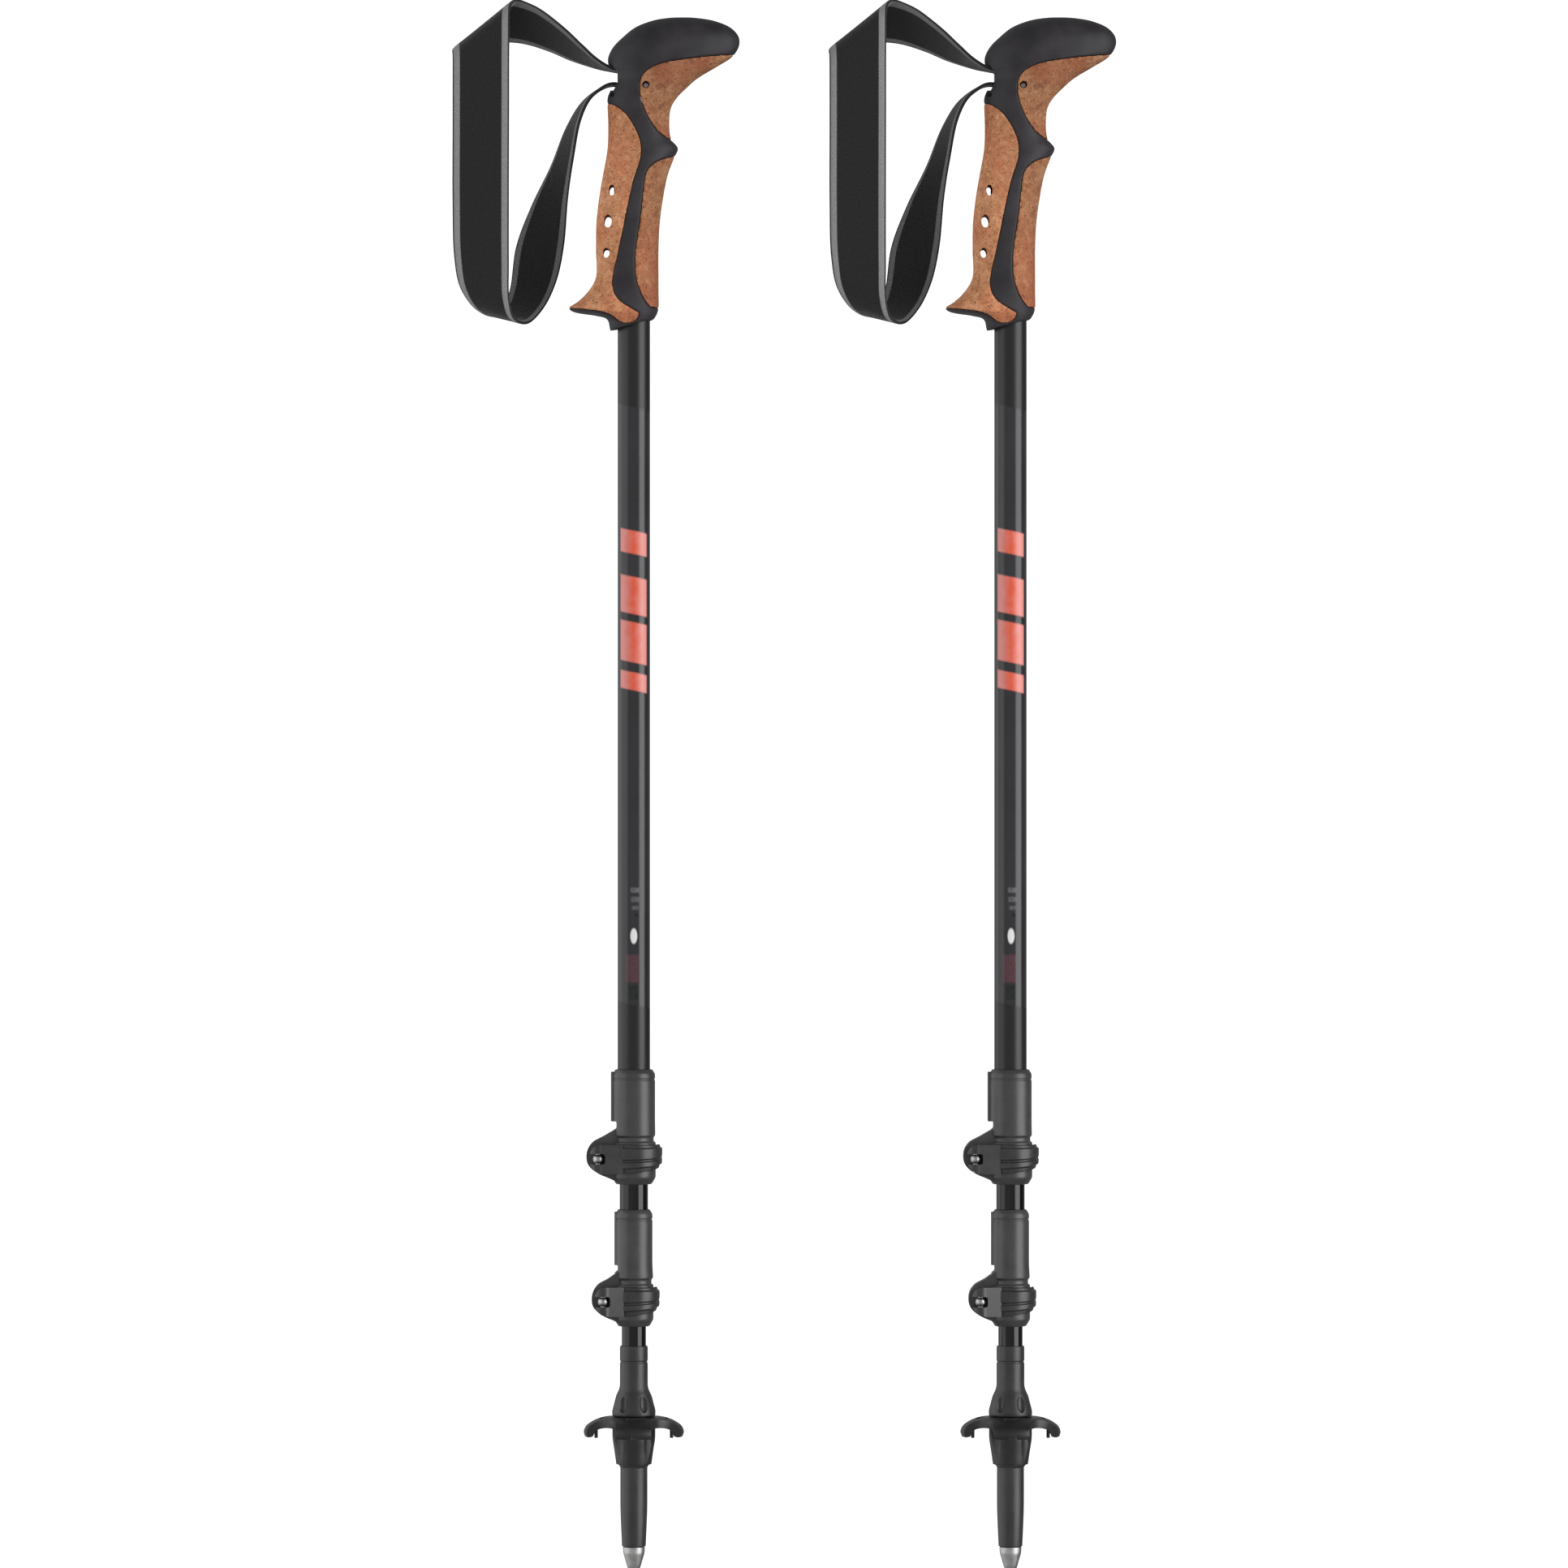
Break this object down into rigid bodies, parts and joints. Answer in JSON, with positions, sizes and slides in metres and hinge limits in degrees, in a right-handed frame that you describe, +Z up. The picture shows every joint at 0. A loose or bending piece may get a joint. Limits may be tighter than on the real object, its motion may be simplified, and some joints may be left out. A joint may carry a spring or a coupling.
{
  "type": "trekking poles",
  "caption": "Collapsed telescoping trekking poles with cork grips, wrist straps, lever locks, round trekking baskets and carbide tips.",
  "frame": {"origin": "centre of the ground contact face of the left pole's carbide tip", "axes": "+Z up along the left pole, +X to the right from the left pole to the right pole and the way the grips' horns point, +Y away from the viewer, to the back of the locks"},
  "size_m": [0.3273, 0.0498, 0.7792],
  "materials": {
    "grip_rubber": "matt charcoal rubber",
    "pommel": "satin charcoal rubber",
    "cork": "moulded granulated cork",
    "webbing": "woven webbing with lighter edge stripes",
    "upper_tube": "dark gloss lacquer over aluminium",
    "inner_tube": "dark satin anodised",
    "lock_plastic": "fine matt texture",
    "lock_lever": "satin",
    "bush": "smooth",
    "tip_plastic": "satin",
    "basket": "satin",
    "ferrule": "turned",
    "carbide": "ground",
    "steel": "plain"
  },
  "bodies": {
    "left_upper": {"left_grip_core": "grip_rubber", "left_palm_cork": "cork", "left_horn_cork": "cork", "left_finger_cork": "cork", "left_pommel": "pommel", "left_strap_pin": "steel", "left_strap_wedge": "lock_plastic", "left_strap_tail": "webbing", "left_upper_tube": "upper_tube", "left_upper_lock_housing": "lock_plastic", "left_upper_lock_pin": "steel", "left_upper_lock_bolt": "steel"},
    "left_middle": {"left_middle_tube": "inner_tube", "left_middle_guide_bush": "bush", "left_lower_lock_housing": "lock_plastic", "left_lower_lock_pin": "steel", "left_lower_lock_bolt": "steel"},
    "left_lower": {"left_lower_tube": "inner_tube", "left_lower_guide_bush": "bush", "left_tip_body": "tip_plastic", "left_tip_ferrule": "ferrule", "left_carbide_point": "carbide"},
    "left_basket": {"left_basket": "basket"},
    "left_strap": {"left_strap_loop": "webbing"},
    "left_upper_lever": {"left_upper_lock_lever": "lock_lever"},
    "left_lower_lever": {"left_lower_lock_lever": "lock_lever"},
    "left_upper_nut": {"left_upper_lock_nut": "lock_plastic"},
    "left_lower_nut": {"left_lower_lock_nut": "lock_plastic"},
    "right_upper": {"right_grip_core": "grip_rubber", "right_palm_cork": "cork", "right_horn_cork": "cork", "right_finger_cork": "cork", "right_pommel": "pommel", "right_strap_pin": "steel", "right_strap_wedge": "lock_plastic", "right_strap_tail": "webbing", "right_upper_tube": "upper_tube", "right_upper_lock_housing": "lock_plastic", "right_upper_lock_pin": "steel", "right_upper_lock_bolt": "steel"},
    "right_middle": {"right_middle_tube": "inner_tube", "right_middle_guide_bush": "bush", "right_lower_lock_housing": "lock_plastic", "right_lower_lock_pin": "steel", "right_lower_lock_bolt": "steel"},
    "right_lower": {"right_lower_tube": "inner_tube", "right_lower_guide_bush": "bush", "right_tip_body": "tip_plastic", "right_tip_ferrule": "ferrule", "right_carbide_point": "carbide"},
    "right_basket": {"right_basket": "basket"},
    "right_strap": {"right_strap_loop": "webbing"},
    "right_upper_lever": {"right_upper_lock_lever": "lock_lever"},
    "right_lower_lever": {"right_lower_lock_lever": "lock_lever"},
    "right_upper_nut": {"right_upper_lock_nut": "lock_plastic"},
    "right_lower_nut": {"right_lower_lock_nut": "lock_plastic"}
  },
  "joints": [
    {"name": "left_middle_slide", "type": "slide", "parent": "left_upper", "child": "left_middle", "axis": [0, 0, -1], "range_m": [-0.01, 0.3]},
    {"name": "left_lower_slide", "type": "slide", "parent": "left_middle", "child": "left_lower", "axis": [0, 0, -1], "range_m": [-0.008, 0.28]},
    {"name": "left_upper_lever_hinge", "type": "hinge", "parent": "left_upper", "child": "left_upper_lever", "pos_m": [-0.0172, -0.0107, 0.2072], "axis": [0, 0, -1], "range_deg": [0, 150]},
    {"name": "left_lower_lever_hinge", "type": "hinge", "parent": "left_middle", "child": "left_lower_lever", "pos_m": [-0.0148, -0.0107, 0.137], "axis": [0, 0, -1], "range_deg": [0, 150]},
    {"name": "left_upper_nut_spin", "type": "hinge", "parent": "left_upper", "child": "left_upper_nut", "pos_m": [-0.0172, 0.0086, 0.2072], "axis": [0, 1, 0], "continuous": true},
    {"name": "left_lower_nut_spin", "type": "hinge", "parent": "left_middle", "child": "left_lower_nut", "pos_m": [-0.0148, 0.0086, 0.137], "axis": [0, 1, 0], "continuous": true},
    {"name": "left_basket_pull_off", "type": "slide", "parent": "left_lower", "child": "left_basket", "axis": [0, 0, -1], "range_m": [0, 0.12]},
    {"name": "left_strap_swing", "type": "hinge", "parent": "left_upper", "child": "left_strap", "pos_m": [-0.0105, 0, 0.7362], "axis": [0, 1, 0], "range_deg": [-7, 6]},
    {"name": "right_middle_slide", "type": "slide", "parent": "right_upper", "child": "right_middle", "axis": [0, 0, -1], "range_m": [-0.01, 0.3]},
    {"name": "right_lower_slide", "type": "slide", "parent": "right_middle", "child": "right_lower", "axis": [0, 0, -1], "range_m": [-0.008, 0.28]},
    {"name": "right_upper_lever_hinge", "type": "hinge", "parent": "right_upper", "child": "right_upper_lever", "pos_m": [0.1684, -0.0107, 0.2072], "axis": [0, 0, -1], "range_deg": [0, 150]},
    {"name": "right_lower_lever_hinge", "type": "hinge", "parent": "right_middle", "child": "right_lower_lever", "pos_m": [0.1708, -0.0107, 0.137], "axis": [0, 0, -1], "range_deg": [0, 150]},
    {"name": "right_upper_nut_spin", "type": "hinge", "parent": "right_upper", "child": "right_upper_nut", "pos_m": [0.1684, 0.0086, 0.2072], "axis": [0, 1, 0], "continuous": true},
    {"name": "right_lower_nut_spin", "type": "hinge", "parent": "right_middle", "child": "right_lower_nut", "pos_m": [0.1708, 0.0086, 0.137], "axis": [0, 1, 0], "continuous": true},
    {"name": "right_basket_pull_off", "type": "slide", "parent": "right_lower", "child": "right_basket", "axis": [0, 0, -1], "range_m": [0, 0.12]},
    {"name": "right_strap_swing", "type": "hinge", "parent": "right_upper", "child": "right_strap", "pos_m": [0.1751, 0, 0.7362], "axis": [0, 1, 0], "range_deg": [-7, 6]},
    {"name": "pair_spread", "type": "slide", "parent": "left_upper", "child": "right_upper", "axis": [1, 0, 0], "range_m": [-0.02, 0.3]}
  ]
}
